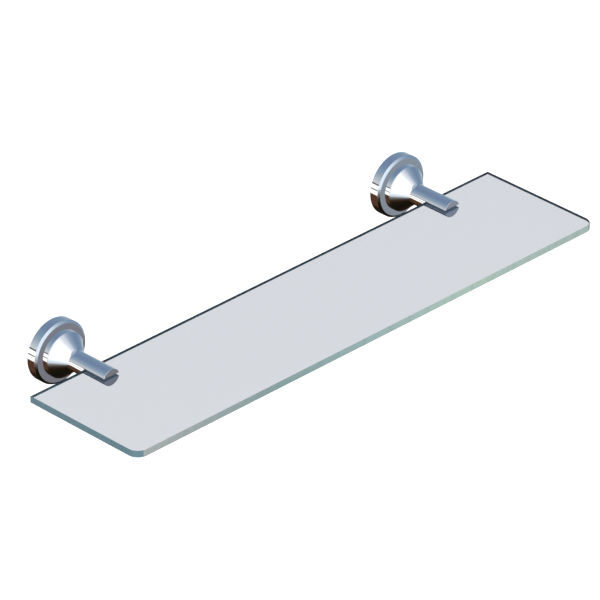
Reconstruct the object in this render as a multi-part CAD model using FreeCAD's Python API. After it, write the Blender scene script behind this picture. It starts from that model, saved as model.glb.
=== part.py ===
import FreeCAD, Part

import math
import os

# Glass wall shelf on two chrome brackets.
# Frame: X along the shelf, to the right as a person faces the wall; +Y into the wall; +Z up.
# Origin: on the wall plane, midway between the brackets, at the height of the bracket axes.
# Lengths are in millimetres. Distances out from the wall are positive and are placed at -Y.

# ---- glass ----
GLASS_WIDTH = 510.0
GLASS_DEPTH = 120.0
GLASS_THICKNESS = 6.0
GLASS_WALL_GAP = 45.0           # wall to the back edge of the glass
GLASS_CORNER_RADIUS = 10.0      # the two front corners
GLASS_ARRIS = 0.25               # ground bevel along every edge

# ---- brackets ----
BRACKET_SPACING = 380.0

# ---- rosette: the drum against the wall ----
ROSETTE_RADIUS = 27.1
ROSETTE_DEPTH = 9.9
ROSETTE_CHAMFER_DEPTH = 1.5     # front edge, along the axis
ROSETTE_CHAMFER_WIDTH = 2.0     # front edge, across the face
ROSETTE_WALL = 2.9
ROSETTE_WEB = 2.2
ROSETTE_REAR_ROUND = 0.4

# ---- collar: the step between the rosette and the cone ----
COLLAR_RADIUS = 19.6
COLLAR_LENGTH = 5.0
COLLAR_EDGE_RADIUS = 0.4

# ---- post: cone, fillet and slotted bar in one turned piece ----
CONE_BASE_RADIUS = 19.25
CONE_END_RADIUS = 9.8           # where the cone runs into the fillet
CONE_LENGTH = 11.28
CONE_BASE_LAND = 0.15           # straight rim at the foot of the cone
SPIGOT_RADIUS = 8.0             # centres the post in the collar
SPIGOT_LENGTH = 2.0
SPIGOT_CLEARANCE = 0.05
POST_RADIUS = 8.8
POST_END = 67.2
POST_CHAMFER = 0.15
SLOT_HEIGHT = 7.0
LINER_THICKNESS = 0.45
LINER_INSET = 0.35              # how far the liner stands inside the post's surface
LINER_GLASS_GAP = 0.02          # behind the glass

# ---- wall plate, hidden in the rosette ----
PLATE_THICKNESS = 2.5
PLATE_CLEARANCE = 0.3           # radial gap between the plate and the rosette's bore
BOSS_RADIUS = 20.0
BOSS_WALL = 2.6
BOSS_DEPTH = 7.2
WALL_HOLE_SPACING = 24.0
WALL_HOLE_RADIUS = 2.5
WALL_HOLE_SINK_RADIUS = 4.6
WALL_HOLE_SINK_DEPTH = 1.3

# ---- bolt through rosette and collar into the post ----
BOLT_RADIUS = 3.0
BOLT_HOLE_CLEARANCE = 0.2
BOLT_HEAD_RADIUS = 5.25
BOLT_HEAD_HEIGHT = 3.2
BOLT_HEAD_RIM = 0.8             # straight side below the crown of the head
BOLT_HEAD_FLAT_RADIUS = 3.15
BOLT_END_CHAMFER = 0.6
BOLT_IN_POST = 14.0
BOLT_SOCKET_FLATS = 4.0
BOLT_SOCKET_DEPTH = 1.8
WASHER_RADIUS = 6.0
WASHER_THICKNESS = 1.2

# ---- grub screws ----
GRUB_RADIUS = 2.0
GRUB_CLEARANCE = 0.05
GRUB_SOCKET_FLATS = 2.0
GRUB_SOCKET_DEPTH = 1.6
GRUB_CHAMFER = 0.35
ROSETTE_GRUB_Y = 5.0            # distance out from the wall
ROSETTE_GRUB_SET_BACK = 0.6     # below the drum's surface
ROSETTE_GRUB_GAP = 0.1          # tip to boss
GLASS_GRUB_Y = 56.0
GLASS_GRUB_TOP = -4.35
GLASS_GRUB_END = -8.3

# ---- nylon tip of the glass screw ----
TIP_RADIUS = 1.6
TIP_TOP = -GLASS_THICKNESS / 2 - 0.05
TIP_BOTTOM = GLASS_GRUB_TOP + 0.05
TIP_SPIGOT_RADIUS = 0.75
TIP_SPIGOT_LENGTH = 1.1
TIP_SPIGOT_CLEARANCE = 0.05
TIP_SPIGOT_END_GAP = 0.2

POST_BASE = ROSETTE_DEPTH + COLLAR_LENGTH   # distance from the wall to the foot of the cone
LARGE = 100.0                   # size of cutting blocks, larger than any bracket piece
SIDES = {"left": -BRACKET_SPACING / 2, "right": BRACKET_SPACING / 2}


def vec(x, y, z):
    return FreeCAD.Vector(x, y, z)


# ---- profiles: points are (distance out from the wall, radius) and are turned about the bracket's axis ----

def at(out, radius):
    return vec(0, -out, radius)


def line(start, end):
    return Part.LineSegment(at(*start), at(*end)).toShape()


def corner_arc(centre, radius, from_deg, to_deg):
    """Arc about a centre in the profile; 0 degrees points outwards from the wall, 90 away from the axis."""
    def point(deg):
        angle = math.radians(deg)
        return at(centre[0] + radius * math.cos(angle), centre[1] + radius * math.sin(angle))
    return Part.Arc(point(from_deg), point((from_deg + to_deg) / 2), point(to_deg)).toShape()


def turned(edges, x):
    """The solid that a closed profile sweeps about the bracket's axis at this x."""
    solid = Part.Face(Part.Wire(edges)).revolve(vec(0, 0, 0), vec(0, 1, 0), 360)
    return solid.translated(vec(x, 0, 0))


def polygon(points):
    closed = points + points[:1]
    return [line(a, b) for a, b in zip(closed, closed[1:])]


def rod(x, out_start, out_end, radius):
    """A cylinder on the bracket's axis."""
    return Part.makeCylinder(radius, out_end - out_start, vec(x, -out_start, 0), vec(0, -1, 0))


def upright(x, out, z_low, z_high, radius):
    """A vertical cylinder."""
    return Part.makeCylinder(radius, z_high - z_low, vec(x, -out, z_low), vec(0, 0, 1))


def hexagon(flats, depth, base, direction):
    """A hexagonal prism for a key socket, from base along direction."""
    corner = flats / math.sqrt(3)
    turn = FreeCAD.Rotation(vec(0, 0, 1), direction)
    points = []
    for i in range(6):
        angle = math.radians(60 * i)
        points.append(base + turn.multVec(vec(corner * math.cos(angle), corner * math.sin(angle), 0)))
    outline = Part.makePolygon(points + points[:1])
    return Part.Face(outline).extrude(direction * depth)


# ---- pieces ----

def glass_shelf():
    low = vec(-GLASS_WIDTH / 2, -GLASS_WALL_GAP - GLASS_DEPTH, -GLASS_THICKNESS / 2)
    pane = Part.makeBox(GLASS_WIDTH, GLASS_DEPTH, GLASS_THICKNESS, low)
    front = [e for e in pane.Edges if e.BoundBox.ZLength > 1 and e.BoundBox.YMax < -GLASS_WALL_GAP - 1]
    pane = pane.makeFillet(GLASS_CORNER_RADIUS, front)
    rims = [e for e in pane.Edges if e.BoundBox.ZLength < 0.001]
    return pane.makeChamfer(GLASS_ARRIS, rims)


def rosette(x):
    bore = ROSETTE_RADIUS - ROSETTE_WALL
    web_back = ROSETTE_DEPTH - ROSETTE_WEB
    hole = BOLT_RADIUS + BOLT_HOLE_CLEARANCE
    edge_start = ROSETTE_DEPTH - ROSETTE_CHAMFER_DEPTH
    face_radius = ROSETTE_RADIUS - ROSETTE_CHAMFER_WIDTH
    shell = turned([
        line((0, bore), (0, ROSETTE_RADIUS - ROSETTE_REAR_ROUND)),
        corner_arc((ROSETTE_REAR_ROUND, ROSETTE_RADIUS - ROSETTE_REAR_ROUND), ROSETTE_REAR_ROUND, 180, 90),
        line((ROSETTE_REAR_ROUND, ROSETTE_RADIUS), (edge_start, ROSETTE_RADIUS)),
        line((edge_start, ROSETTE_RADIUS), (ROSETTE_DEPTH, face_radius)),
        line((ROSETTE_DEPTH, face_radius), (ROSETTE_DEPTH, hole)),
        line((ROSETTE_DEPTH, hole), (web_back, hole)),
        line((web_back, hole), (web_back, bore)),
        line((web_back, bore), (0, bore)),
    ], x)
    screw_hole = upright(x, ROSETTE_GRUB_Y, -ROSETTE_RADIUS - 1, -bore + 1, GRUB_RADIUS + GRUB_CLEARANCE)
    return shell.cut(screw_hole)


def collar(x):
    hole = BOLT_RADIUS + BOLT_HOLE_CLEARANCE
    recess = SPIGOT_RADIUS + SPIGOT_CLEARANCE
    recess_floor = POST_BASE - SPIGOT_LENGTH - SPIGOT_CLEARANCE
    edge = COLLAR_EDGE_RADIUS
    return turned([
        line((ROSETTE_DEPTH, hole), (ROSETTE_DEPTH, COLLAR_RADIUS)),
        line((ROSETTE_DEPTH, COLLAR_RADIUS), (POST_BASE - edge, COLLAR_RADIUS)),
        corner_arc((POST_BASE - edge, COLLAR_RADIUS - edge), edge, 90, 0),
        line((POST_BASE, COLLAR_RADIUS - edge), (POST_BASE, recess)),
        line((POST_BASE, recess), (recess_floor, recess)),
        line((recess_floor, recess), (recess_floor, hole)),
        line((recess_floor, hole), (ROSETTE_DEPTH, hole)),
    ], x)


def slot_block(x, height, out_start, half_width):
    """The open space of the glass slot, from out_start to past the post's end."""
    low = vec(x - half_width, -POST_END - 1, -height / 2)
    return Part.makeBox(2 * half_width, POST_END + 1 - out_start, height, low)


def neck_fillet():
    """The arc that runs from the end of the cone into the bar, as (centre, radius, slope of the cone in degrees)."""
    slope = math.atan2(CONE_BASE_RADIUS - CONE_END_RADIUS, CONE_LENGTH - CONE_BASE_LAND)
    radius = (CONE_END_RADIUS - POST_RADIUS) / (1 - math.cos(slope))
    centre = (POST_BASE + CONE_LENGTH + radius * math.sin(slope), POST_RADIUS + radius)
    return centre, radius, math.degrees(slope)


def post(x):
    rear = POST_BASE - SPIGOT_LENGTH
    rim_end = POST_BASE + CONE_BASE_LAND
    centre, radius, slope = neck_fillet()
    bar = turned([
        line((rear, 0), (rear, SPIGOT_RADIUS)),
        line((rear, SPIGOT_RADIUS), (POST_BASE, SPIGOT_RADIUS)),
        line((POST_BASE, SPIGOT_RADIUS), (POST_BASE, CONE_BASE_RADIUS)),
        line((POST_BASE, CONE_BASE_RADIUS), (rim_end, CONE_BASE_RADIUS)),
        line((rim_end, CONE_BASE_RADIUS), (POST_BASE + CONE_LENGTH, CONE_END_RADIUS)),
        corner_arc(centre, radius, 270 - slope, 270),
        line((centre[0], POST_RADIUS), (POST_END - POST_CHAMFER, POST_RADIUS)),
        line((POST_END - POST_CHAMFER, POST_RADIUS), (POST_END, POST_RADIUS - POST_CHAMFER)),
        line((POST_END, POST_RADIUS - POST_CHAMFER), (POST_END, 0)),
        line((POST_END, 0), (rear, 0)),
    ], x)
    bar = bar.cut(slot_block(x, SLOT_HEIGHT, GLASS_WALL_GAP - LINER_THICKNESS, LARGE / 2))
    bar = bar.cut(rod(x, rear - 1, POST_BASE + BOLT_IN_POST + 1, BOLT_RADIUS))
    screw_hole = upright(x, GLASS_GRUB_Y, -POST_RADIUS - 1, -SLOT_HEIGHT / 2 + 1, GRUB_RADIUS + GRUB_CLEARANCE)
    return bar.cut(screw_hole)


def slot_liner(x):
    """A thin channel that lines the slot above, below and behind the glass, trimmed to the post's round side."""
    slot_floor = GLASS_WALL_GAP - LINER_THICKNESS
    inner_height = SLOT_HEIGHT - 2 * LINER_THICKNESS
    outer = slot_block(x, SLOT_HEIGHT, slot_floor, LARGE / 2)
    inner = slot_block(x, inner_height, GLASS_WALL_GAP - LINER_GLASS_GAP, LARGE / 2 + 1)
    channel = outer.cut(inner)
    trim = rod(x, slot_floor - 1, POST_END - LINER_INSET, POST_RADIUS - LINER_INSET)
    channel = channel.common(trim)
    return channel.cut(upright(x, GLASS_GRUB_Y, -SLOT_HEIGHT, 0, GRUB_RADIUS + GRUB_CLEARANCE))


def wall_plate(x):
    rim = ROSETTE_RADIUS - ROSETTE_WALL - PLATE_CLEARANCE
    plate = turned(polygon([
        (0, 0),
        (0, rim),
        (PLATE_THICKNESS, rim),
        (PLATE_THICKNESS, BOSS_RADIUS),
        (BOSS_DEPTH, BOSS_RADIUS),
        (BOSS_DEPTH, BOSS_RADIUS - BOSS_WALL),
        (PLATE_THICKNESS, BOSS_RADIUS - BOSS_WALL),
        (PLATE_THICKNESS, 0),
    ]), x)
    for z in (-WALL_HOLE_SPACING / 2, WALL_HOLE_SPACING / 2):
        hole = rod(x, -1, PLATE_THICKNESS + 1, WALL_HOLE_RADIUS).translated(vec(0, 0, z))
        sink = Part.makeCone(
            WALL_HOLE_RADIUS,
            WALL_HOLE_SINK_RADIUS,
            WALL_HOLE_SINK_DEPTH,
            vec(x, WALL_HOLE_SINK_DEPTH - PLATE_THICKNESS, z),
            vec(0, -1, 0),
        )
        plate = plate.cut(hole).cut(sink)
    return plate


def post_bolt(x):
    head_front = ROSETTE_DEPTH - ROSETTE_WEB - WASHER_THICKNESS
    head_back = head_front - BOLT_HEAD_HEIGHT
    rim = head_front - BOLT_HEAD_RIM
    tip = POST_BASE + BOLT_IN_POST
    chamfer_start = tip - BOLT_END_CHAMFER
    crown_rise = rim - head_back
    crown_inset = BOLT_HEAD_RADIUS - BOLT_HEAD_FLAT_RADIUS
    crown_radius = (crown_rise ** 2 + crown_inset ** 2) / (2 * crown_inset)
    crown_start = math.degrees(math.atan2(crown_radius - crown_inset, -crown_rise))
    bolt = turned([
        line((head_back, 0), (head_back, BOLT_HEAD_FLAT_RADIUS)),
        corner_arc((rim, BOLT_HEAD_RADIUS - crown_radius), crown_radius, crown_start, 90),
        line((rim, BOLT_HEAD_RADIUS), (head_front, BOLT_HEAD_RADIUS)),
        line((head_front, BOLT_HEAD_RADIUS), (head_front, BOLT_RADIUS)),
        line((head_front, BOLT_RADIUS), (chamfer_start, BOLT_RADIUS)),
        line((chamfer_start, BOLT_RADIUS), (tip, BOLT_RADIUS - BOLT_END_CHAMFER)),
        line((tip, BOLT_RADIUS - BOLT_END_CHAMFER), (tip, 0)),
        line((tip, 0), (head_back, 0)),
    ], x)
    key = hexagon(BOLT_SOCKET_FLATS, BOLT_SOCKET_DEPTH + 1, vec(x, 1 - head_back, 0), vec(0, -1, 0))
    return bolt.cut(key)


def bolt_washer(x):
    front = ROSETTE_DEPTH - ROSETTE_WEB
    ring = rod(x, front - WASHER_THICKNESS, front, WASHER_RADIUS)
    return ring.cut(rod(x, 0, ROSETTE_DEPTH, BOLT_RADIUS + BOLT_HOLE_CLEARANCE))


def grub(x, out, z_low, z_high):
    """A vertical grub screw with its key socket in the lower end and both ends chamfered."""
    screw = upright(x, out, z_low, z_high, GRUB_RADIUS)
    rims = [e for e in screw.Edges if e.BoundBox.ZLength < 0.001]
    screw = screw.makeChamfer(GRUB_CHAMFER, rims)
    key = hexagon(GRUB_SOCKET_FLATS, GRUB_SOCKET_DEPTH + 1, vec(x, -out, z_low - 1), vec(0, 0, 1))
    return screw.cut(key)


def rosette_screw(x):
    z_low = -ROSETTE_RADIUS + ROSETTE_GRUB_SET_BACK
    return grub(x, ROSETTE_GRUB_Y, z_low, -BOSS_RADIUS - ROSETTE_GRUB_GAP)


def glass_screw(x):
    recess_radius = TIP_SPIGOT_RADIUS + TIP_SPIGOT_CLEARANCE
    recess_depth = TIP_SPIGOT_LENGTH - (TIP_BOTTOM - GLASS_GRUB_TOP) + TIP_SPIGOT_END_GAP
    screw = grub(x, GLASS_GRUB_Y, GLASS_GRUB_END, GLASS_GRUB_TOP)
    return screw.cut(upright(x, GLASS_GRUB_Y, GLASS_GRUB_TOP - recess_depth, GLASS_GRUB_TOP + 1, recess_radius))


def screw_tip(x):
    pad = upright(x, GLASS_GRUB_Y, TIP_BOTTOM, TIP_TOP, TIP_RADIUS)
    spigot = upright(x, GLASS_GRUB_Y, TIP_BOTTOM - TIP_SPIGOT_LENGTH, TIP_BOTTOM, TIP_SPIGOT_RADIUS)
    return pad.fuse(spigot)


BRACKET_PIECES = {
    "wall_plate": wall_plate,
    "rosette": rosette,
    "collar": collar,
    "post": post,
    "slot_liner": slot_liner,
    "post_bolt": post_bolt,
    "bolt_washer": bolt_washer,
    "rosette_screw": rosette_screw,
    "glass_screw": glass_screw,
    "screw_tip": screw_tip,
}


def save(shape, node):
    solid = shape.Solids[0]
    print(node, len(shape.Solids), "solid", "valid" if solid.isValid() else "NOT VALID", round(solid.Volume, 1))
    solid.exportStep("parts/" + node + ".step")


os.makedirs("parts", exist_ok=True)
save(glass_shelf(), "glass_shelf")
for side, bracket_x in SIDES.items():
    for name, build in BRACKET_PIECES.items():
        save(build(bracket_x), side + "_" + name)
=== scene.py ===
import math

import bpy
from mathutils import Matrix, Vector


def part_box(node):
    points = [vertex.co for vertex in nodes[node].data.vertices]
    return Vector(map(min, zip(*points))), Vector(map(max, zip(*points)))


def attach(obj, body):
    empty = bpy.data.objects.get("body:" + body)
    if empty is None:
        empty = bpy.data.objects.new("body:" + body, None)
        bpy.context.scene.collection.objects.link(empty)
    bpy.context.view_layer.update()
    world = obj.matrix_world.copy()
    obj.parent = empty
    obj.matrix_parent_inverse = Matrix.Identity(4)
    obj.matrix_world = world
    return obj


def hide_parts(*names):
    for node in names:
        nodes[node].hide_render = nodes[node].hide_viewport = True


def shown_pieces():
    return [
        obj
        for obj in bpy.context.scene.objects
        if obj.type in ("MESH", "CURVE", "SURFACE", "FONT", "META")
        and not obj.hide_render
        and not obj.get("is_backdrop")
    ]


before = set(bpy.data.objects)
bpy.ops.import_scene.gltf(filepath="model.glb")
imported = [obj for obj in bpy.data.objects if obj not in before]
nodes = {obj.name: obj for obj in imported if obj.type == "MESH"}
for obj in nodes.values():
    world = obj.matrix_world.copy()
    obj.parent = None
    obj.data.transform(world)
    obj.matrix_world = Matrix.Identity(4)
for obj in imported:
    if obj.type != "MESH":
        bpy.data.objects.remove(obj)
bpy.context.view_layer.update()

# Everything is in metres in the CAD frame: X along the shelf, +Y into the wall, +Z up.

CHROME_TINT = 0.88          # how much of the light falling on it the chrome returns
STUDIO_WHITE = 1.25         # brightness of the white parts of the studio
TOUCHING = 4e-6             # surfaces this close are taken as the same one
SAME_WAY = 0.94             # cosine above which two normals belong to the same surface
NO_LENGTH = 1e-7            # shorter than this counts as nothing
CUT_PAST = 0.001            # how far a cutter runs past the surface that it cuts
FLOOR_HEIGHT = -0.36
FLOOR_HALF_WIDTH = 9.0


# ---- node helpers ----

class Tree:
    """A thin layer over a node tree. add() makes a node, sets its inputs and links the given sockets."""

    def __init__(self, tree):
        self.tree = tree
        tree.nodes.clear()

    def add(self, kind, inputs=None, **settings):
        node = self.tree.nodes.new("ShaderNode" + kind)
        for key, value in settings.items():
            setattr(node, key, value)
        for key, value in (inputs or {}).items():
            if isinstance(value, bpy.types.NodeSocket):
                self.tree.links.new(value, node.inputs[key])
            else:
                node.inputs[key].default_value = value
        return node

    def math(self, operation, a, b=0.0):
        return self.add("Math", {0: a, 1: b}, operation=operation).outputs[0]

    def span(self, value, low, high, to_low=0.0, to_high=1.0, smooth=True):
        """value from low..high mapped to to_low..to_high, and held at the ends."""
        kind = "SMOOTHSTEP" if smooth else "LINEAR"
        return self.add(
            "MapRange",
            {"Value": value, "From Min": low, "From Max": high, "To Min": to_low, "To Max": to_high},
            interpolation_type=kind,
        ).outputs[0]

    def mix(self, factor, a, b):
        node = self.add("Mix", data_type="RGBA")
        for socket, value in zip([node.inputs[0], node.inputs[6], node.inputs[7]], [factor, a, b]):
            if isinstance(value, bpy.types.NodeSocket):
                self.tree.links.new(value, socket)
            else:
                socket.default_value = value
        return node.outputs[2]

    def ramp(self, value, stops):
        """A colour ramp from (position, colour) stops."""
        node = self.add("ValToRGB", {0: value})
        elements = node.color_ramp.elements
        while len(elements) < len(stops):
            elements.new(1.0)
        for element, (position, colour) in zip(elements, stops):
            element.position = position
            element.color = colour
        return node.outputs[0]


def linear(red, green, blue, scale=1.0):
    """A screen colour, 0 to 255, as the linear colour that Blender works in."""
    def channel(value):
        value = value / 255.0
        return scale * (value / 12.92 if value <= 0.04045 else ((value + 0.055) / 1.055) ** 2.4)
    return (channel(red), channel(green), channel(blue), 1.0)


# ---- studio ----

def seen_in_chrome(red, green, blue):
    """The light that a chrome mirror shows as this screen colour."""
    return linear(red, green, blue, 1.0 / CHROME_TINT)


# the tones of the room
WHITE = (STUDIO_WHITE, STUDIO_WHITE, STUDIO_WHITE, 1.0)
ICE = seen_in_chrome(220, 235, 250)
PALE_GREY = seen_in_chrome(200, 205, 210)
PALE_BLUE = seen_in_chrome(180, 190, 200)
CEILING = seen_in_chrome(160, 175, 200)
SOFT_BLUE = seen_in_chrome(150, 165, 180)
GREY = seen_in_chrome(130, 130, 140)
MID_BLUE = seen_in_chrome(120, 145, 170)
DEEP_BLUE = seen_in_chrome(110, 130, 160)
LINE_GREY = seen_in_chrome(100, 100, 95)
BROWN = seen_in_chrome(80, 55, 40)
LINE_DARK = seen_in_chrome(60, 60, 55)
FLOOR_EDGE = seen_in_chrome(60, 50, 45)
FLOOR_DIM = seen_in_chrome(35, 25, 15)
FLOOR_DARK = seen_in_chrome(20, 18, 12)

# The room by elevation in degrees, towards the right, the back, the back left, the front left and the front.
RIGHT = [
    (-90, FLOOR_DARK),
    (-45, FLOOR_DIM),
    (-31.5, FLOOR_EDGE),
    (-31, GREY),
    (-28, SOFT_BLUE),
    (-5, MID_BLUE),
    (15, DEEP_BLUE),
    (45, MID_BLUE),
    (53, CEILING),
]
BACK = [
    (-90, FLOOR_DARK),
    (-50, FLOOR_DIM),
    (-27, FLOOR_EDGE),
    (-26, PALE_GREY),
    (-16, PALE_BLUE),
    (-5, SOFT_BLUE),
    (15, MID_BLUE),
    (53, DEEP_BLUE),
    (57, CEILING),
]
# a white wall above the brown floor, crossed by two lines
BACK_LEFT = [
    (-90, FLOOR_DARK),
    (-60, FLOOR_DIM),
    (-50, BROWN),
    (-24.5, BROWN),
    (-24, WHITE),
    (-12, WHITE),
    (-11.5, LINE_GREY),
    (-9, LINE_GREY),
    (-8, WHITE),
    (3, WHITE),
    (4, LINE_DARK),
    (7, LINE_DARK),
    (7.5, PALE_GREY),
    (18, PALE_BLUE),
    (30, SOFT_BLUE),
    (45, MID_BLUE),
    (55, DEEP_BLUE),
    (62, CEILING),
]
FRONT_LEFT = [
    (-90, FLOOR_DARK),
    (-54, FLOOR_DIM),
    (-42, FLOOR_EDGE),
    (-35, LINE_GREY),
    (-30, GREY),
    (-25, PALE_GREY),
    (-17, ICE),
    (-7, WHITE),
    (53, WHITE),
    (66, CEILING),
]
FRONT = [
    (-90, FLOOR_DARK),
    (-45, FLOOR_DARK),
    (-31, FLOOR_EDGE),
    (-22, LINE_GREY),
    (-14, SOFT_BLUE),
    (-8, ICE),
    (30, ICE),
    (40, WHITE),
    (53, WHITE),
    (66, CEILING),
]


def studio_world():
    world = bpy.data.worlds.new("studio")
    bpy.context.scene.world = world
    world.use_nodes = True
    t = Tree(world.node_tree)
    direction = t.add("SeparateXYZ", {0: t.add("TexCoord").outputs["Generated"]}).outputs
    height = t.span(direction[2], -1.0, 1.0, smooth=False)
    azimuth = t.math("ARCTAN2", direction[0], t.math("MULTIPLY", direction[1], -1.0))

    def by_height(stops):
        return t.ramp(height, [((math.sin(math.radians(e)) + 1) / 2, colour) for e, colour in stops])

    def towards(start, end):
        return t.span(azimuth, math.radians(start), math.radians(end))

    room = by_height(BACK)
    room = t.mix(towards(-180, -160), room, by_height(BACK_LEFT))
    room = t.mix(towards(-110, -75), room, by_height(FRONT_LEFT))
    room = t.mix(towards(-38, -26), room, by_height(FRONT))
    # the white front fades into the blue right side fast at first and slowly at the end
    left_over = t.span(azimuth, 0.0, math.radians(90), 1.0, 0.0, smooth=False)
    room = t.mix(t.math("MULTIPLY", left_over, left_over), by_height(RIGHT), room)
    room = t.mix(towards(95, 130), room, by_height(BACK))

    path = t.add("LightPath").outputs
    reflected = t.math("GREATER_THAN", path["Glossy Depth"], 0.5)
    not_diffuse = t.math("LESS_THAN", path["Diffuse Depth"], 0.5)
    colour = t.mix(t.math("MULTIPLY", reflected, not_diffuse), (1.0, 1.0, 1.0, 1.0), room)
    background = t.add("Background", {"Color": colour, "Strength": 1.0})
    t.add("OutputWorld", {"Surface": background.outputs[0]})


def area_light(name, location, target, size, power):
    data = bpy.data.lights.new(name, "AREA")
    data.shape = "RECTANGLE"
    data.size, data.size_y = size
    data.energy = power
    lamp = bpy.data.objects.new(name, data)
    lamp.location = location
    lamp.rotation_euler = (Vector(target) - Vector(location)).to_track_quat("-Z", "Y").to_euler()
    lamp.visible_glossy = False
    bpy.context.scene.collection.objects.link(lamp)


def studio_floor():
    half = FLOOR_HALF_WIDTH
    height = FLOOR_HEIGHT
    mesh = bpy.data.meshes.new("floor")
    mesh.from_pydata(
        [(-half, -half, height), (half, -half, height), (half, half, height), (-half, half, height)],
        [],
        [(0, 1, 2, 3)],
    )
    floor = bpy.data.objects.new("floor", mesh)
    bpy.context.scene.collection.objects.link(floor)
    material = bpy.data.materials.new("floor_paper")
    material.use_nodes = True
    t = Tree(material.node_tree)
    grain = t.add("TexNoise", {"Scale": 3.0, "Detail": 3.0}).outputs["Fac"]
    colour = t.mix(grain, (0.93, 0.93, 0.93, 1.0), (0.95, 0.95, 0.95, 1.0))
    paper = t.add("BsdfPrincipled", {"Base Color": colour, "Roughness": 0.9, "Specular IOR Level": 0.1})
    t.add("OutputMaterial", {"Surface": paper.outputs[0]})
    mesh.materials.append(material)
    floor.visible_glossy = False
    floor.visible_transmission = False
    floor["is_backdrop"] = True


def studio_camera():
    aim = Vector((0.01344, -0.0694, -0.01080))
    azimuth = math.radians(-44.81)
    elevation = math.radians(29.99)
    distance = 4.7654
    back = Vector((
        math.sin(azimuth) * math.cos(elevation),
        -math.cos(azimuth) * math.cos(elevation),
        math.sin(elevation),
    ))
    data = bpy.data.cameras.new("camera")
    data.lens = 359.3
    data.sensor_width = 36.0
    data.clip_start = 0.05
    data.clip_end = 30.0
    camera = bpy.data.objects.new("camera", data)
    camera.location = aim + back * distance
    camera.rotation_euler = back.to_track_quat("Z", "Y").to_euler()
    bpy.context.scene.collection.objects.link(camera)
    bpy.context.scene.camera = camera


# ---- meshes ----

class Shell:
    """A mesh under construction whose faces carry the exact normals of the surfaces they stand for."""

    def __init__(self):
        self.points = []
        self.index = {}
        self.faces = []
        self.normals = []
        self.slots = []

    def vertex(self, point):
        key = tuple(round(c * 1e8) for c in point)
        if key not in self.index:
            self.index[key] = len(self.points)
            self.points.append(tuple(point))
        return self.index[key]

    def face(self, corners, slot=0):
        """corners: (point, normal) pairs; corners that fall together are merged."""
        kept = []
        for point, normal in corners:
            vertex = self.vertex(point)
            if vertex not in [k[0] for k in kept]:
                kept.append((vertex, normal))
        if len(kept) > 2:
            self.faces.append([vertex for vertex, _ in kept])
            self.normals.extend(normal for _, normal in kept)
            self.slots.append(slot)

    def mesh(self, name):
        made = bpy.data.meshes.new(name)
        made.from_pydata(self.points, [], self.faces)
        made.shade_smooth()
        made.normals_split_custom_set(self.normals)
        made.polygons.foreach_set("material_index", self.slots)
        return made


def run(start, end):
    """A straight stretch of a profile, as (start, end, normal, normal). Points are (out, radius)."""
    length = math.hypot(end[0] - start[0], end[1] - start[1])
    normal = ((start[1] - end[1]) / length, (end[0] - start[0]) / length)
    return [(start, end, normal, normal)]


def bend(centre, radius, from_deg, to_deg, steps):
    """An arc of a profile as short stretches. A profile runs so that its outside is on its left."""
    found = []
    turn = 1.0 if to_deg < from_deg else -1.0
    for i in range(steps):
        pair = []
        for k in (i, i + 1):
            angle = math.radians(from_deg + (to_deg - from_deg) * k / steps)
            reach = (math.cos(angle), math.sin(angle))
            point = (centre[0] + radius * reach[0], centre[1] + radius * reach[1])
            pair.append((point, (turn * reach[0], turn * reach[1])))
        found.append((pair[0][0], pair[1][0], pair[0][1], pair[1][1]))
    return found


def turned(name, profile, segments=180):
    """The solid that a closed profile sweeps about the bracket's axis, out from the wall along -Y."""
    shell = Shell()

    def around(value, angle):
        return (value[1] * math.cos(angle), -value[0], value[1] * math.sin(angle))

    for start, end, start_normal, end_normal in profile:
        for i in range(segments):
            a = 2 * math.pi * i / segments
            b = 2 * math.pi * (i + 1) / segments
            if i == segments - 1:
                b = 0.0
            shell.face([
                (around(start, a), around(start_normal, a)),
                (around(start, b), around(start_normal, b)),
                (around(end, b), around(end_normal, b)),
                (around(end, a), around(end_normal, a)),
            ])
    return shell.mesh(name)


def joined(surfaces, point, facing):
    """The profile's normal at a point, from the stretch there that faces most nearly as asked, or None."""
    best, found = SAME_WAY, None
    radius = math.hypot(point[0], point[2])
    side = (point[0] / radius, point[2] / radius) if radius > 1e-9 else (1.0, 0.0)
    for (o0, r0), (o1, r1), n0, n1 in surfaces:
        dx, dy = o1 - o0, r1 - r0
        px, py = -point[1] - o0, radius - r0
        length = dx * dx + dy * dy
        t = min(1.0, max(0.0, (px * dx + py * dy) / length))
        if math.hypot(px - t * dx, py - t * dy) > TOUCHING:
            continue
        n_out, n_radius = n0[0] + t * (n1[0] - n0[0]), n0[1] + t * (n1[1] - n0[1])
        normal = Vector((n_radius * side[0], -n_out, n_radius * side[1])).normalized()
        if normal.dot(facing) > best:
            best, found = normal.dot(facing), normal
    return found


def carve(mesh, profile, cutters):
    """Cuts other meshes out of a turned mesh, then gives every corner its exact normal again."""
    scene = bpy.context.scene
    body = bpy.data.objects.new("carved", mesh)
    scene.collection.objects.link(body)
    tools = []
    for cutter in cutters:
        tool = bpy.data.objects.new("cutter", cutter)
        scene.collection.objects.link(tool)
        tools.append(tool)
        cut = body.modifiers.new("cut", "BOOLEAN")
        cut.operation = "DIFFERENCE"
        cut.solver = "EXACT"
        cut.object = tool
    bpy.context.view_layer.update()
    graph = bpy.context.evaluated_depsgraph_get()
    made = bpy.data.meshes.new_from_object(body.evaluated_get(graph))
    for tool in tools + [body]:
        bpy.data.objects.remove(tool)
    normals = []
    for polygon in made.polygons:
        for index in polygon.vertices:
            point = made.vertices[index].co
            normals.append(joined(profile, point, polygon.normal) or polygon.normal.copy())
    made.shade_smooth()
    made.normals_split_custom_set(normals)
    return made


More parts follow.
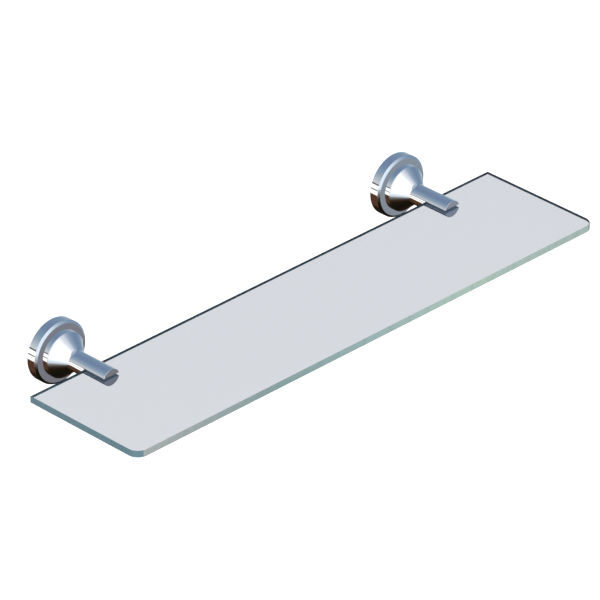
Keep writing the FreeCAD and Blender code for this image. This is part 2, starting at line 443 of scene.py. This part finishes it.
def block(low, high):
    """A box mesh, used only to cut with."""
    made = bpy.data.meshes.new("block")
    corners = [(x, y, z) for x in (low[0], high[0]) for y in (low[1], high[1]) for z in (low[2], high[2])]
    sides = [(0, 1, 3, 2), (4, 6, 7, 5), (0, 4, 5, 1), (2, 3, 7, 6), (0, 2, 6, 4), (1, 5, 7, 3)]
    made.from_pydata(corners, [], sides)
    return made


def pin(x, y, low, high, radius, segments=48):
    """An upright round bar, used only to cut with."""
    shell = Shell()
    up, down = (0.0, 0.0, 1.0), (0.0, 0.0, -1.0)
    ring = []
    for i in range(segments):
        angle = 2 * math.pi * i / segments
        ring.append((x + radius * math.cos(angle), y + radius * math.sin(angle)))
    for (ax, ay), (bx, by) in zip(ring, ring[1:] + ring[:1]):
        shell.face([((ax, ay, low), up), ((bx, by, low), up), ((bx, by, high), up), ((ax, ay, high), up)])
        shell.face([((ax, ay, high), up), ((bx, by, high), up), ((x, y, high), up)])
        shell.face([((bx, by, low), down), ((ax, ay, low), down), ((x, y, low), down)])
    return shell.mesh("pin")


# ---- pieces ----

ROSETTE_RADIUS = 0.0271
ROSETTE_DEPTH = 0.0099
ROSETTE_CHAMFER_DEPTH = 0.0015
ROSETTE_CHAMFER_WIDTH = 0.0020
ROSETTE_SOFTENING = 0.0003   # radius on both edges of the chamfer
ROSETTE_REAR_EDGE = 0.0004
ROSETTE_BORE = 0.0242
ROSETTE_WEB = 0.0022
BOLT_HOLE = 0.0032
COLLAR_RADIUS = 0.0196
COLLAR_EDGE = 0.0004
COLLAR_RECESS = 0.00805
POST_BASE = 0.0149
CONE_BASE = 0.01925
CONE_END = 0.0098
CONE_LENGTH = 0.01128
CONE_LAND = 0.00015
SPIGOT = 0.0080
SPIGOT_LENGTH = 0.0020
SPIGOT_GAP = 0.00005
POST_RADIUS = 0.0088
POST_END = 0.0672
POST_CHAMFER = 0.00015
SLOT_HALF = 0.0035
SLOT_FLOOR = 0.04455
BORE_END = 0.0299
BOLT_BORE = 0.0030
CUTTER_HALF = 0.02            # half the width of the slot's cutter, wider than the post
GRUB_HOLE = 0.00205
ROSETTE_GRUB = 0.005
GLASS_GRUB = 0.056
GLASS_CORNER = 0.010
GLASS_ARRIS = 0.00025
GLASS_HALF = 0.255
FACES_FRONT = 2.75            # forward lean over sideways lean, above which an edge is a front edge
CLEAR, OTHER_EDGES, FRONT_EDGE = 0, 1, 2   # material slots of the glass


def rosette_mesh():
    edge_start = ROSETTE_DEPTH - ROSETTE_CHAMFER_DEPTH
    face = ROSETTE_RADIUS - ROSETTE_CHAMFER_WIDTH
    soft = ROSETTE_SOFTENING
    lean = math.atan2(ROSETTE_CHAMFER_DEPTH, ROSETTE_CHAMFER_WIDTH)   # of the chamfer's normal, from the axis
    side_cut = soft * math.tan((math.pi / 2 - lean) / 2)
    face_cut = soft * math.tan(lean / 2)
    side_centre = (edge_start - side_cut, ROSETTE_RADIUS - soft)
    face_centre = (ROSETTE_DEPTH - soft, face - face_cut)
    reach = (soft * math.cos(lean), soft * math.sin(lean))
    chamfer_start = (side_centre[0] + reach[0], side_centre[1] + reach[1])
    chamfer_end = (face_centre[0] + reach[0], face_centre[1] + reach[1])
    rear = ROSETTE_REAR_EDGE
    web = ROSETTE_DEPTH - ROSETTE_WEB
    profile = (
        run((0, ROSETTE_BORE), (0, ROSETTE_RADIUS - rear))
        + bend((rear, ROSETTE_RADIUS - rear), rear, 180, 90, 6)
        + run((rear, ROSETTE_RADIUS), (side_centre[0], ROSETTE_RADIUS))
        + bend(side_centre, soft, 90, math.degrees(lean), 6)
        + run(chamfer_start, chamfer_end)
        + bend(face_centre, soft, math.degrees(lean), 0, 6)
        + run((ROSETTE_DEPTH, face_centre[1]), (ROSETTE_DEPTH, BOLT_HOLE))
        + run((ROSETTE_DEPTH, BOLT_HOLE), (web, BOLT_HOLE))
        + run((web, BOLT_HOLE), (web, ROSETTE_BORE))
        + run((web, ROSETTE_BORE), (0, ROSETTE_BORE))
    )
    hole = pin(0, -ROSETTE_GRUB, -ROSETTE_RADIUS - CUT_PAST, -ROSETTE_BORE + CUT_PAST, GRUB_HOLE)
    return carve(turned("rosette", profile), profile, [hole])


def collar_mesh():
    floor = POST_BASE - SPIGOT_LENGTH - SPIGOT_GAP
    edge = COLLAR_EDGE
    return turned("collar", (
        run((ROSETTE_DEPTH, BOLT_HOLE), (ROSETTE_DEPTH, COLLAR_RADIUS))
        + run((ROSETTE_DEPTH, COLLAR_RADIUS), (POST_BASE - edge, COLLAR_RADIUS))
        + bend((POST_BASE - edge, COLLAR_RADIUS - edge), edge, 90, 0, 8)
        + run((POST_BASE, COLLAR_RADIUS - edge), (POST_BASE, COLLAR_RECESS))
        + run((POST_BASE, COLLAR_RECESS), (floor, COLLAR_RECESS))
        + run((floor, COLLAR_RECESS), (floor, BOLT_HOLE))
        + run((floor, BOLT_HOLE), (ROSETTE_DEPTH, BOLT_HOLE))
    ))


def post_mesh():
    rear = POST_BASE - SPIGOT_LENGTH
    rim = POST_BASE + CONE_LAND
    slope = math.atan2(CONE_BASE - CONE_END, CONE_LENGTH - CONE_LAND)
    fillet = (CONE_END - POST_RADIUS) / (1 - math.cos(slope))
    centre = (POST_BASE + CONE_LENGTH + fillet * math.sin(slope), POST_RADIUS + fillet)
    tip = POST_END - POST_CHAMFER
    profile = (
        run((rear, BOLT_BORE), (rear, SPIGOT))
        + run((rear, SPIGOT), (POST_BASE, SPIGOT))
        + run((POST_BASE, SPIGOT), (POST_BASE, CONE_BASE))
        + run((POST_BASE, CONE_BASE), (rim, CONE_BASE))
        + run((rim, CONE_BASE), (POST_BASE + CONE_LENGTH, CONE_END))
        + bend(centre, fillet, 270 - math.degrees(slope), 270, 20)
        + run((centre[0], POST_RADIUS), (tip, POST_RADIUS))
        + run((tip, POST_RADIUS), (POST_END, POST_RADIUS - POST_CHAMFER))
        + run((POST_END, POST_RADIUS - POST_CHAMFER), (POST_END, 0))
        + run((BORE_END, 0), (BORE_END, BOLT_BORE))
        + run((BORE_END, BOLT_BORE), (rear, BOLT_BORE))
    )
    slot = block((-CUTTER_HALF, -POST_END - CUT_PAST, -SLOT_HALF), (CUTTER_HALF, -SLOT_FLOOR, SLOT_HALF))
    hole = pin(0, -GLASS_GRUB, -POST_RADIUS - CUT_PAST, -SLOT_HALF + CUT_PAST, GRUB_HOLE)
    return carve(turned("post", profile), profile, [slot, hole])


def glass_mesh():
    low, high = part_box("glass_shelf")
    corner, arris, steps = GLASS_CORNER, GLASS_ARRIS, 24
    # the outline, seen from above, as stretches of (point, normal, point, normal)
    rim = [
        ((high.x, high.y), (0, 1), (low.x, high.y), (0, 1)),
        ((low.x, high.y), (-1, 0), (low.x, low.y + corner), (-1, 0)),
    ]

    def rounded(cx, cy, start):
        stretches = []
        for i in range(steps):
            ends = []
            for k in (i, i + 1):
                angle = math.radians(start + 90 * k / steps)
                reach = (math.cos(angle), math.sin(angle))
                ends += [(cx + corner * reach[0], cy + corner * reach[1]), reach]
            stretches.append(tuple(ends))
        return stretches

    rim += rounded(low.x + corner, low.y + corner, 180)
    rim.append(((low.x + corner, low.y), (0, -1), (high.x - corner, low.y), (0, -1)))
    rim += rounded(high.x - corner, low.y + corner, 270)
    rim.append(((high.x, low.y + corner), (1, 0), (high.x, high.y), (1, 0)))
    shell = Shell()
    top, bottom = [], []
    slant = math.sqrt(0.5)

    def inset(point):
        """The outline point moved in by the arris, square to the straight sides."""
        x = min(max(point[0], low.x + corner), high.x - corner)
        y = max(point[1], low.y + corner)
        dx, dy = point[0] - x, point[1] - y
        reach = math.hypot(dx, dy)
        if point[1] > high.y - NO_LENGTH:
            return (min(max(point[0], low.x + arris), high.x - arris), high.y - arris)
        return (point[0] - arris * dx / reach, point[1] - arris * dy / reach)

    for a, na, b, nb in rim:
        ia, ib = inset(a), inset(b)
        if math.hypot(a[0] - b[0], a[1] - b[1]) < NO_LENGTH:
            continue
        # front edges take the lighter painted reflection, the other edges the darker teal one
        slot = FRONT_EDGE if -(na[1] + nb[1]) > FACES_FRONT * abs(na[0] + nb[0]) else OTHER_EDGES
        shell.face([
            ((*a, low.z + arris), (*na, 0)), ((*b, low.z + arris), (*nb, 0)),
            ((*b, high.z - arris), (*nb, 0)), ((*a, high.z - arris), (*na, 0)),
        ], slot)
        sa, sb = (na[0] * slant, na[1] * slant), (nb[0] * slant, nb[1] * slant)
        shell.face([
            ((*a, high.z - arris), (*sa, slant)), ((*b, high.z - arris), (*sb, slant)),
            ((*ib, high.z), (*sb, slant)), ((*ia, high.z), (*sa, slant)),
        ], slot)
        shell.face([
            ((*ia, low.z), (*sa, -slant)), ((*ib, low.z), (*sb, -slant)),
            ((*b, low.z + arris), (*sb, -slant)), ((*a, low.z + arris), (*sa, -slant)),
        ], slot)
        top.append(((*ia, high.z), (0, 0, 1)))
        bottom.append(((*ia, low.z), (0, 0, -1)))
    shell.face(top, CLEAR)
    shell.face(bottom[::-1], CLEAR)
    return shell.mesh("glass")


# ---- materials ----

def material(name):
    made = bpy.data.materials.new(name)
    made.use_nodes = True
    return made, Tree(made.node_tree)


def fine_bump(t, height, depth):
    return t.add("Bump", {"Height": height, "Strength": 0.4, "Distance": depth}).outputs[0]


def chrome(name):
    """Bright plating: finger smudges and faint polishing lines around the axis, seen only in how it blurs."""
    made, t = material(name)
    point = t.add("TexCoord").outputs["Object"]
    smudge = t.add("TexNoise", {"Vector": point, "Scale": 90.0, "Detail": 4.0, "Roughness": 0.6})
    smudge = smudge.outputs["Fac"]
    along = t.add("Mapping", {"Vector": point, "Scale": (0.02, 1.0, 0.02)}).outputs[0]
    lines = t.add("TexNoise", {"Vector": along, "Scale": 6000.0, "Detail": 2.0}).outputs["Fac"]
    roughness = t.math("ADD", t.span(smudge, 0.35, 0.75, 0.008, 0.024), t.span(lines, 0.55, 0.8, 0.0, 0.012))
    tone = t.mix(smudge, (0.87, 0.88, 0.89, 1.0), (0.89, 0.885, 0.88, 1.0))
    shader = t.add("BsdfPrincipled", {"Base Color": tone, "Metallic": 1.0, "Roughness": roughness})
    t.add("OutputMaterial", {"Surface": shader.outputs[0]})
    return made


def shelf_glass():
    """Float glass: almost colourless faces, with the faint wipe marks of a clean shelf."""
    made, t = material("clear_glass")
    point = t.add("TexCoord").outputs["Object"]
    wiped = t.add("Mapping", {"Vector": point, "Scale": (1.0, 3.0, 1.0), "Rotation": (0.0, 0.0, 0.6)})
    marks = t.add("TexNoise", {"Vector": wiped.outputs[0], "Scale": 35.0, "Detail": 5.0}).outputs["Fac"]
    shader = t.add("BsdfPrincipled", {
        "Base Color": (0.775, 0.782, 0.80, 1.0),
        "Roughness": t.span(marks, 0.5, 0.8, 0.0, 0.012),
        "IOR": 1.5,
        "Transmission Weight": 1.0,
    })
    volume = t.add("VolumeAbsorption", {"Color": (0.5, 0.78, 0.86, 1.0), "Density": 3.0})
    t.add("OutputMaterial", {"Surface": shader.outputs[0], "Volume": volume.outputs[0]})
    return made


# Painted reflection: the glass edges are drawn solid, and these tones stand in for the light that the pane
# reflects inside itself. The teal is partly the glass's own tint; the lighter and darker stretches from end
# to end are painted.
TEAL_PAINTED_BRIGHT = linear(90, 115, 125)
TEAL_PAINTED_MIDDLE = linear(50, 70, 80)
TEAL_PAINTED_DEEP = linear(45, 60, 70)
EDGE_PAINTED_GREY = linear(135, 140, 140)
EDGE_PAINTED_DIM = linear(110, 130, 130)
EDGE_PAINTED_MIDDLE = linear(125, 145, 145)
EDGE_PAINTED_GREEN = linear(140, 160, 150)
EDGE_PAINTED_END = linear(135, 150, 145)
EDGE_STREAK = linear(65, 90, 95)


def painted_edge_glass(name, tones):
    """A polished glass edge, seen as solid, with painted reflection: the tones stand in for the light
    reflected inside the glass, and they run from the left end to the right.
    """
    made, t = material(name)
    point = t.add("TexCoord").outputs["Object"]
    along = t.span(t.add("SeparateXYZ", {0: point}).outputs[0], -GLASS_HALF, GLASS_HALF, smooth=False)
    tone = t.ramp(along, tones)
    streaks = t.add("Mapping", {"Vector": point, "Scale": (1.0, 1.0, 0.05)}).outputs[0]
    streak = t.add("TexNoise", {"Vector": streaks, "Scale": 140.0, "Detail": 3.0}).outputs["Fac"]
    tone = t.mix(t.span(streak, 0.35, 0.75, 0.0, 0.16), tone, EDGE_STREAK)
    roughness = t.span(streak, 0.3, 0.7, 0.10, 0.18)
    shader = t.add("BsdfPrincipled", {"Base Color": tone, "Roughness": roughness, "IOR": 1.5})
    t.add("OutputMaterial", {"Surface": shader.outputs[0]})
    return made


def zinc_plate():
    """Pressed steel with a zinc coat: small dull crystals, a little blue passivate and a rolled grain."""
    made, t = material("zinc_plate")
    point = t.add("TexCoord").outputs["Object"]
    crystal = t.add("TexVoronoi", {"Vector": point, "Scale": 420.0, "Randomness": 1.0}).outputs["Color"]
    crystal = t.add("SeparateColor", {0: crystal}).outputs[0]
    grain = t.add("Mapping", {"Vector": point, "Scale": (1.0, 1.0, 14.0)}).outputs[0]
    grain = t.add("TexNoise", {"Vector": grain, "Scale": 260.0, "Detail": 4.0}).outputs["Fac"]
    tone = t.mix(crystal, (0.50, 0.52, 0.55, 1.0), (0.66, 0.66, 0.65, 1.0))
    tone = t.mix(t.span(grain, 0.45, 0.8, 0.0, 0.5), tone, (0.42, 0.46, 0.50, 1.0))
    roughness = t.math("ADD", t.span(crystal, 0.0, 1.0, 0.28, 0.42), t.span(grain, 0.3, 0.7, 0.0, 0.1))
    shader = t.add("BsdfPrincipled", {
        "Base Color": tone,
        "Metallic": 1.0,
        "Roughness": roughness,
        "Normal": fine_bump(t, grain, 0.00006),
    })
    t.add("OutputMaterial", {"Surface": shader.outputs[0]})
    return made


def machined(name, light, dark, lines_along, rough):
    """Stainless steel with tool marks, closely spaced along one axis."""
    made, t = material(name)
    point = t.add("TexCoord").outputs["Object"]
    stretch = tuple(1.0 if axis == lines_along else 0.04 for axis in "XYZ")
    turned_marks = t.add("Mapping", {"Vector": point, "Scale": stretch}).outputs[0]
    marks = t.add("TexNoise", {"Vector": turned_marks, "Scale": 9000.0, "Detail": 2.0}).outputs["Fac"]
    stain = t.add("TexNoise", {"Vector": point, "Scale": 500.0, "Detail": 4.0}).outputs["Fac"]
    tone = t.mix(t.span(marks, 0.35, 0.65), dark, light)
    tone = t.mix(t.span(stain, 0.55, 0.85, 0.0, 0.5), tone, tuple(0.7 * c for c in dark[:3]) + (1.0,))
    roughness = t.math("ADD", t.span(marks, 0.3, 0.7, rough * 0.8, rough), t.span(stain, 0.4, 0.8, 0.0, 0.12))
    shader = t.add("BsdfPrincipled", {
        "Base Color": tone,
        "Metallic": 1.0,
        "Roughness": roughness,
        "Normal": fine_bump(t, marks, 0.00002),
    })
    t.add("OutputMaterial", {"Surface": shader.outputs[0]})
    return made


def moulded(name, tone_a, tone_b, rough, scatter):
    """Moulded plastic with a slightly cloudy colour and a fine tool texture."""
    made, t = material(name)
    point = t.add("TexCoord").outputs["Object"]
    cloud = t.add("TexNoise", {"Vector": point, "Scale": 300.0, "Detail": 3.0}).outputs["Fac"]
    pores = t.add("TexNoise", {"Vector": point, "Scale": 5000.0, "Detail": 2.0}).outputs["Fac"]
    shader = t.add("BsdfPrincipled", {
        "Base Color": t.mix(t.span(cloud, 0.3, 0.7), tone_a, tone_b),
        "Roughness": t.span(pores, 0.3, 0.7, rough * 0.85, rough * 1.15),
        "Subsurface Weight": scatter,
        "Subsurface Radius": (0.001, 0.001, 0.0008),
        "Normal": fine_bump(t, pores, 0.00002),
    })
    t.add("OutputMaterial", {"Surface": shader.outputs[0]})
    return made


def give(piece, made):
    piece.data.materials.clear()
    piece.data.materials.append(made)


def stand_in(name, mesh, node, body):
    """A finer piece that stands for a CAD node."""
    piece = bpy.data.objects.new(name, mesh)
    bpy.context.scene.collection.objects.link(piece)
    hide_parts(node)
    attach(piece, body)


SCREW_LIGHT = (0.50, 0.51, 0.52, 1.0)
SCREW_DARK = (0.38, 0.39, 0.41, 1.0)
VINYL_DARK = (0.055, 0.075, 0.095, 1.0)
VINYL_LIGHT = (0.075, 0.095, 0.115, 1.0)

finishes = {
    "rosette": chrome("rosette_chrome"),
    "collar": chrome("collar_chrome"),
    "post": chrome("post_chrome"),
    "wall_plate": zinc_plate(),
    "post_bolt": machined("bolt_steel", (0.62, 0.62, 0.61, 1.0), (0.50, 0.51, 0.52, 1.0), "Y", 0.24),
    "bolt_washer": machined("washer_steel", (0.66, 0.66, 0.65, 1.0), (0.55, 0.55, 0.56, 1.0), "X", 0.32),
    "rosette_screw": machined("rosette_screw_steel", SCREW_LIGHT, SCREW_DARK, "Z", 0.26),
    "glass_screw": machined("glass_screw_steel", SCREW_LIGHT, SCREW_DARK, "Z", 0.26),
    "screw_tip": moulded("nylon", (0.84, 0.82, 0.76, 1.0), (0.78, 0.77, 0.71, 1.0), 0.42, 0.3),
    "slot_liner": moulded("liner_vinyl", VINYL_DARK, VINYL_LIGHT, 0.45, 0.0),
}
shapes = {"rosette": rosette_mesh(), "collar": collar_mesh(), "post": post_mesh()}
for side in ("left", "right"):
    for piece_name, finish in finishes.items():
        node = side + "_" + piece_name
        if piece_name in shapes:
            low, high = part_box(node)
            mesh = shapes[piece_name].copy()
            mesh.transform(Matrix.Translation(((low.x + high.x) / 2, 0, 0)))
            mesh.materials.append(finish)
            stand_in(node + "_turned", mesh, node, side + "_bracket")
        else:
            give(nodes[node], finish)
pane = glass_mesh()
pane.materials.append(shelf_glass())
# painted reflection on the glass edges: dark teal on the ends, back and corners, lighter grey-green along the
# front
pane.materials.append(painted_edge_glass("glass_edge_teal_painted_reflection", [(0.03, TEAL_PAINTED_BRIGHT), (0.06, TEAL_PAINTED_MIDDLE), (1.0, TEAL_PAINTED_DEEP)]))
pane.materials.append(painted_edge_glass("glass_edge_front_painted_reflection", [
    (0.03, EDGE_PAINTED_GREY),
    (0.3, EDGE_PAINTED_DIM),
    (0.5, EDGE_PAINTED_MIDDLE),
    (0.7, EDGE_PAINTED_GREEN),
    (0.9, EDGE_PAINTED_END),
]))
stand_in("glass_pane", pane, "glass_shelf", "shelf")

studio_world()
studio_floor()
area_light("key", (-2.2, -2.6, 3.0), (0, 0, 0), (2.5, 2.5), 120)
area_light("fill", (2.8, -2.0, 2.4), (0, 0, 0), (3.0, 2.0), 60)
studio_camera()

# the chrome shows the room and nothing else
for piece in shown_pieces():
    piece.visible_glossy = False

scene = bpy.context.scene
scene.view_settings.view_transform = "Standard"
scene.cycles.max_bounces = 32
scene.cycles.transmission_bounces = 24
scene.cycles.glossy_bounces = 16
